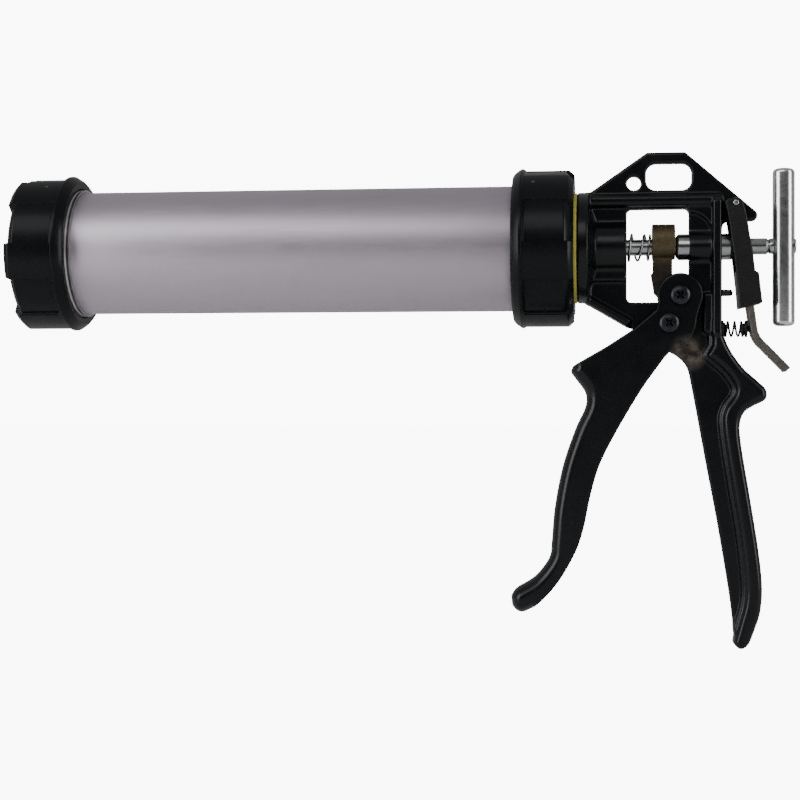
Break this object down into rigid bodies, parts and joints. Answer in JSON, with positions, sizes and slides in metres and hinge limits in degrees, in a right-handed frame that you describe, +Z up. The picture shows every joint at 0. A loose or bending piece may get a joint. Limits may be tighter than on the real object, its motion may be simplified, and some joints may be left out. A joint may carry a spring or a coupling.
{
  "type": "caulking gun",
  "caption": "Barrel caulking gun: swivelling tube with two screw caps, cast frame and rear handle, squeeze trigger, gripping block on a push rod with T-handle, release lever.",
  "frame": {"origin": "under the middle of the bounding box, level with the lowest point of the rear handle", "axes": "+X from the nozzle end to the T-handle along the push rod, +Z up with the handles hanging down, +Y to the far side, away from the screw heads"},
  "size_m": [0.3378, 0.0688, 0.2119],
  "materials": {
    "anodised_aluminium": "satin anodised, fine grain along the tube",
    "bright_aluminium": "turned",
    "cap_plastic": "glossy moulded",
    "cover_plastic": "semi-matt moulded",
    "seal_rubber": "matt",
    "yellow_plastic": "olive yellow, semi-matt",
    "nylon": "natural nylon",
    "black_casting": "black semi-gloss paint on an alloy casting, worn at the crotch",
    "zinc_steel": "bright zinc plated",
    "dark_steel": "blackened",
    "dull_steel": "dull, grey-brown",
    "bronze": "brown bronze, dull"
  },
  "bodies": {
    "frame": {"frame": "black_casting", "swivel_spigot": "zinc_steel", "thrust_washer": "nylon", "guide_bush": "zinc_steel", "stop_pin": "dark_steel", "pivot_screw": "dark_steel", "pivot_nut": "dark_steel", "lever_pin": "zinc_steel", "release_spring_seat": "cover_plastic", "return_spring": "zinc_steel", "release_spring": "dark_steel"},
    "barrel": {"barrel_tube": "anodised_aluminium", "front_thread_sleeve": "bright_aluminium", "rear_thread_sleeve": "bright_aluminium", "rear_seal_ring": "seal_rubber", "rear_cap": "cap_plastic", "swivel_washer": "yellow_plastic"},
    "cap_seal": {"front_seal_ring": "seal_rubber"},
    "front_cap": {"front_cap": "cap_plastic"},
    "piston": {"piston_front_plate": "zinc_steel", "piston_cup": "cover_plastic", "piston_back_plate": "zinc_steel"},
    "rod": {"push_rod": "zinc_steel", "t_bar": "zinc_steel", "piston_nut": "zinc_steel"},
    "trigger": {"trigger": "black_casting", "drive_screw": "dark_steel", "drive_nut": "dark_steel", "drive_roller": "zinc_steel"},
    "drive_block": {"drive_block": "bronze"},
    "release_lever": {"lever_cover": "cover_plastic", "brake_plate": "dull_steel", "lever_spring_seat": "cover_plastic"}
  },
  "joints": [
    {"name": "barrel_swivel", "type": "hinge", "parent": "frame", "child": "barrel", "pos_m": [0.07658, 0, 0.17136], "axis": [1, 0, 0], "continuous": true},
    {"name": "cap_travel", "type": "slide", "parent": "barrel", "child": "cap_seal", "axis": [-1, 0, 0], "range_m": [0, 0.0121]},
    {"name": "cap_turn", "type": "hinge", "parent": "cap_seal", "child": "front_cap", "pos_m": [-0.16342, 0, 0.17136], "axis": [-1, 0, 0], "range_deg": [0, 1440]},
    {"name": "plunger_slide", "type": "slide", "parent": "frame", "child": "piston", "axis": [1, 0, 0], "range_m": [-0.004, 0.2]},
    {"name": "rod_turn", "type": "hinge", "parent": "piston", "child": "rod", "pos_m": [0.07658, 0, 0.17136], "axis": [1, 0, 0], "continuous": true},
    {"name": "trigger_squeeze", "type": "hinge", "parent": "frame", "child": "trigger", "pos_m": [0.11538, 0, 0.13866], "axis": [0, -1, 0], "range_deg": [0, 30], "stiffness_Nm_per_rad": 0.6, "springref_deg": -34.38},
    {"name": "block_slide", "type": "slide", "parent": "frame", "child": "drive_block", "axis": [-1, 0, 0], "range_m": [0, 0.0068], "deforming": ["return_spring"]},
    {"name": "release_lever", "type": "hinge", "parent": "frame", "child": "release_lever", "pos_m": [0.14328, 0, 0.18936], "axis": [0, 1, 0], "range_deg": [0, 2.2], "stiffness_Nm_per_rad": 0.5, "springref_deg": -17.19, "deforming": ["release_spring"]}
  ],
  "couplings": [
    {"joint": "cap_travel", "follows": "cap_turn", "m_per_rad": 0.00047746},
    {"joint": "block_slide", "follows": "trigger_squeeze", "m_per_rad": 0.01242}
  ]
}
